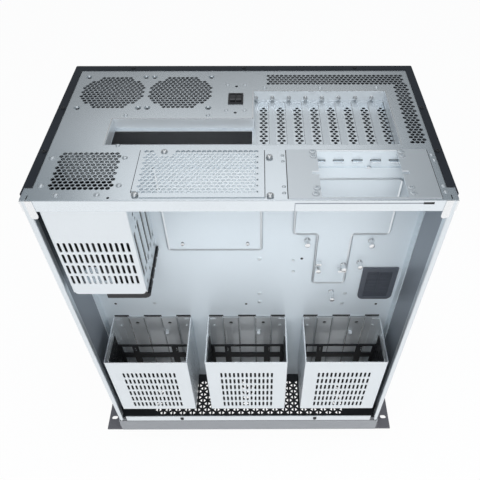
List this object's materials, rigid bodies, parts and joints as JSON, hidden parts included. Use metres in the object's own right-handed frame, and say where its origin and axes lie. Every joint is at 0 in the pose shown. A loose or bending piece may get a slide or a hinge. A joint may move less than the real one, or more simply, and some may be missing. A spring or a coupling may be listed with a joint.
{
  "type": "rackmount server case",
  "caption": "Empty rackmount server case, open on one side: drive cages, tray, power supply bays, card-slot recess and rear rocker switches.",
  "frame": {"origin": "middle of the box's footprint, on the surface that the handles stand on", "axes": "+X across the case, +Y from the open side to the top cover, +Z from the front to the rear panel"},
  "size_m": [0.4826, 0.266, 0.5422],
  "materials": {
    "zinc": "zinc-plated, matt",
    "bright": "bright",
    "cover_paint": "fine matt texture",
    "black_paint": "satin",
    "bezel_paint": "satin",
    "ear_paint": "matt",
    "anodised": "anodised",
    "grommet": "matt",
    "brass": "machined",
    "switch": "satin"
  },
  "bodies": {
    "case": {"side_wall_left": "zinc", "side_wall_right": "zinc", "rear_panel": "zinc", "recess_frame": "zinc", "slot_cover_1": "zinc", "slot_cover_2": "zinc", "slot_cover_3": "zinc", "slot_cover_4": "zinc", "slot_cover_5": "zinc", "slot_cover_6": "zinc", "slot_cover_7": "zinc", "slot_cover_8": "zinc", "motherboard_tray": "zinc", "top_cover": "cover_paint", "front_plate": "black_paint", "front_cross_rail": "zinc", "front_bezel": "bezel_paint", "rack_ear_left": "ear_paint", "rack_ear_right": "ear_paint", "handle_left": "anodised", "handle_right": "anodised", "front_cage_left": "zinc", "front_cage_centre": "zinc", "front_cage_right": "zinc", "drive_frame_left": "black_paint", "drive_frame_centre": "black_paint", "drive_frame_right": "black_paint", "rear_cage": "zinc", "rear_drive_frame": "black_paint", "psu_blank_plate": "zinc", "psu_mount_plate": "zinc", "cable_grommet": "grommet", "tray_posts": "bright", "motherboard_standoffs": "brass", "switch_frame": "switch"},
    "left_rocker": {"rocker_left": "switch"},
    "right_rocker": {"rocker_right": "switch"}
  },
  "joints": [
    {"name": "left_rocker_pivot", "type": "hinge", "parent": "case", "child": "left_rocker", "pos_m": [-0.01235, 0.0542, 0.5375], "axis": [1, 0, 0], "range_deg": [0, 16]},
    {"name": "right_rocker_pivot", "type": "hinge", "parent": "case", "child": "right_rocker", "pos_m": [-0.00485, 0.0542, 0.5375], "axis": [1, 0, 0], "range_deg": [0, 16]}
  ]
}
